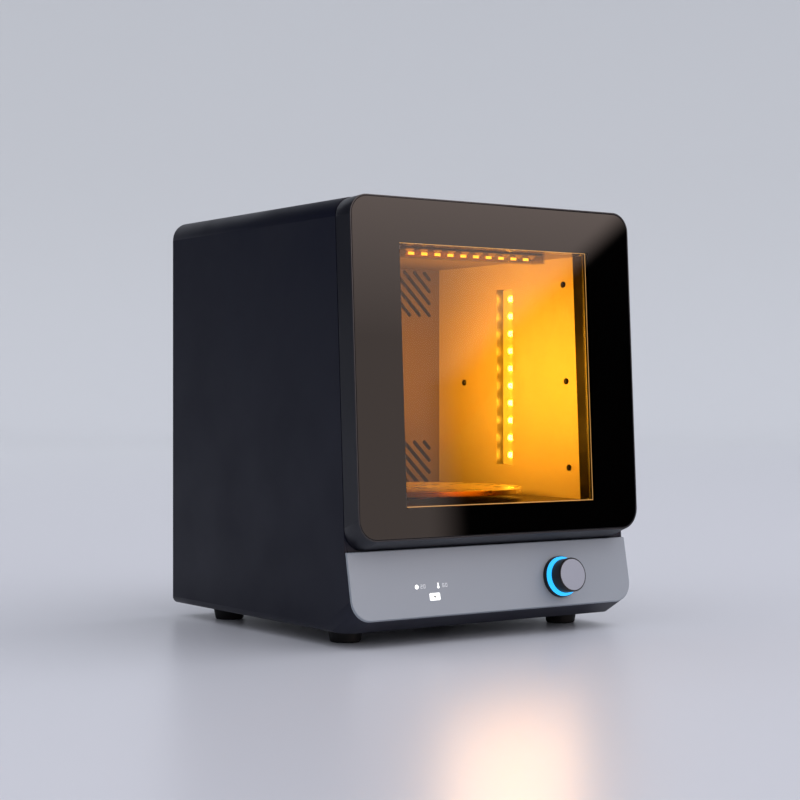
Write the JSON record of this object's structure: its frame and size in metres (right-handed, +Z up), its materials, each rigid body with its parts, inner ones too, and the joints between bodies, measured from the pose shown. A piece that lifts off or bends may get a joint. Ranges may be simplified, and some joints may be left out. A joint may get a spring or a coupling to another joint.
{
  "type": "dental lab light curing unit",
  "caption": "Benchtop light curing unit: amber window door over a slanted knob panel, steel chamber with light strips and a turntable.",
  "frame": {"origin": "middle of the footprint, on the bench", "axes": "+Z up, -Y towards the user, +X to the user's right"},
  "size_m": [0.3, 0.3272, 0.3718],
  "materials": {
    "case_paint": "satin",
    "zinc_steel": "satin",
    "panel_coat": "semi_gloss",
    "foot_rubber": "matte",
    "screw_steel": "polished",
    "stainless": "satin",
    "black_screw": "satin",
    "tray_steel": "satin",
    "board_white": "matte",
    "led_lens": "gloss",
    "clear_cover": "gloss",
    "sink_aluminium": "matte",
    "bush_bronze": "satin",
    "black_plastic": "matte",
    "board_green": "satin",
    "pin_brass": "satin",
    "knob_black": "semi_gloss",
    "knob_metal": "brushed",
    "ring_light": "gloss",
    "glass_black": "gloss",
    "amber_sheet": "gloss",
    "seal_rubber": "matte",
    "liner_steel": "satin",
    "door_paint": "satin"
  },
  "bodies": {
    "cabinet": {"case_shell": "case_paint", "chassis_plate": "zinc_steel", "rear_panel": "case_paint", "front_frame": "case_paint", "control_panel": "panel_coat", "feet": "foot_rubber", "foot_screws": "screw_steel", "chamber_left_wall": "stainless", "chamber_right_wall": "stainless", "chamber_back_wall": "stainless", "chamber_ceiling": "stainless", "chamber_floor": "stainless", "chamber_screws": "black_screw", "side_lamp_trays": "tray_steel", "side_lamp_boards": "board_white", "side_lamp_leds": "led_lens", "top_lamp_board": "board_white", "top_lamp_leds": "led_lens", "top_lamp_cover": "clear_cover", "heat_sinks": "sink_aluminium", "floor_bush": "bush_bronze", "turntable_motor": "zinc_steel", "motor_bracket": "zinc_steel", "air_duct": "zinc_steel", "circulation_fan_frame": "black_plastic", "heater_bank": "zinc_steel", "exhaust_fan_frame": "black_plastic", "exhaust_guard": "screw_steel", "power_inlet": "black_plastic", "inlet_pins": "pin_brass", "power_supply": "zinc_steel", "main_board": "board_green", "display_board": "board_green", "encoder_body": "zinc_steel", "knob_collar": "knob_black", "knob_light_ring": "ring_light", "door_sensor": "black_plastic", "rear_screws": "screw_steel", "strike_plates": "screw_steel", "door_seal": "seal_rubber", "hinge_arms": "zinc_steel", "hinge_pins": "screw_steel"},
    "door": {"door_frame": "door_paint", "door_glass": "glass_black", "amber_filter": "amber_sheet", "door_liner": "liner_steel", "door_back_cover": "door_paint", "door_magnets": "screw_steel"},
    "turntable": {"turntable_disc": "stainless", "turntable_hub": "black_plastic", "drive_spindle": "zinc_steel", "shaft_coupler": "zinc_steel"},
    "knob_spindle": {"encoder_spindle": "zinc_steel"},
    "knob": {"knob_body": "knob_black", "knob_face": "knob_metal"},
    "rocker": {"rocker_switch": "black_plastic"},
    "circulation_rotor": {"circulation_impeller": "black_plastic"},
    "exhaust_rotor": {"exhaust_impeller": "black_plastic"},
    "fuse_carrier": {"fuse_drawer": "black_plastic"}
  },
  "joints": [
    {"name": "door_hinge", "type": "hinge", "parent": "cabinet", "child": "door", "pos_m": [0.1445, -0.13186, 0.22579], "axis": [0, 0.0506, 0.9987], "range_deg": [0, 95]},
    {"name": "turntable_turn", "type": "hinge", "parent": "cabinet", "child": "turntable", "pos_m": [0, -0.02422, 0.1], "axis": [0, 0, 1], "continuous": true},
    {"name": "knob_turn", "type": "hinge", "parent": "cabinet", "child": "knob_spindle", "pos_m": [0.069, -0.14228, 0.04856], "axis": [0, -0.9826, 0.1857], "continuous": true},
    {"name": "knob_push", "type": "slide", "parent": "knob_spindle", "child": "knob", "axis": [0, 0.9826, -0.1857], "range_m": [0, 0.0008], "stiffness_N_per_m": 800},
    {"name": "rocker_tilt", "type": "hinge", "parent": "cabinet", "child": "rocker", "pos_m": [-0.092, 0.15408, 0.074], "axis": [-1, 0, 0], "range_deg": [0, 16]},
    {"name": "fuse_slide", "type": "slide", "parent": "cabinet", "child": "fuse_carrier", "axis": [0, 1, 0], "range_m": [0, 0.018]},
    {"name": "circulation_turn", "type": "hinge", "parent": "cabinet", "child": "circulation_rotor", "pos_m": [0, 0.14, 0.224], "axis": [0, 1, 0], "continuous": true},
    {"name": "exhaust_turn", "type": "hinge", "parent": "cabinet", "child": "exhaust_rotor", "pos_m": [0.08, 0.15, 0.061], "axis": [0, 1, 0], "continuous": true}
  ]
}
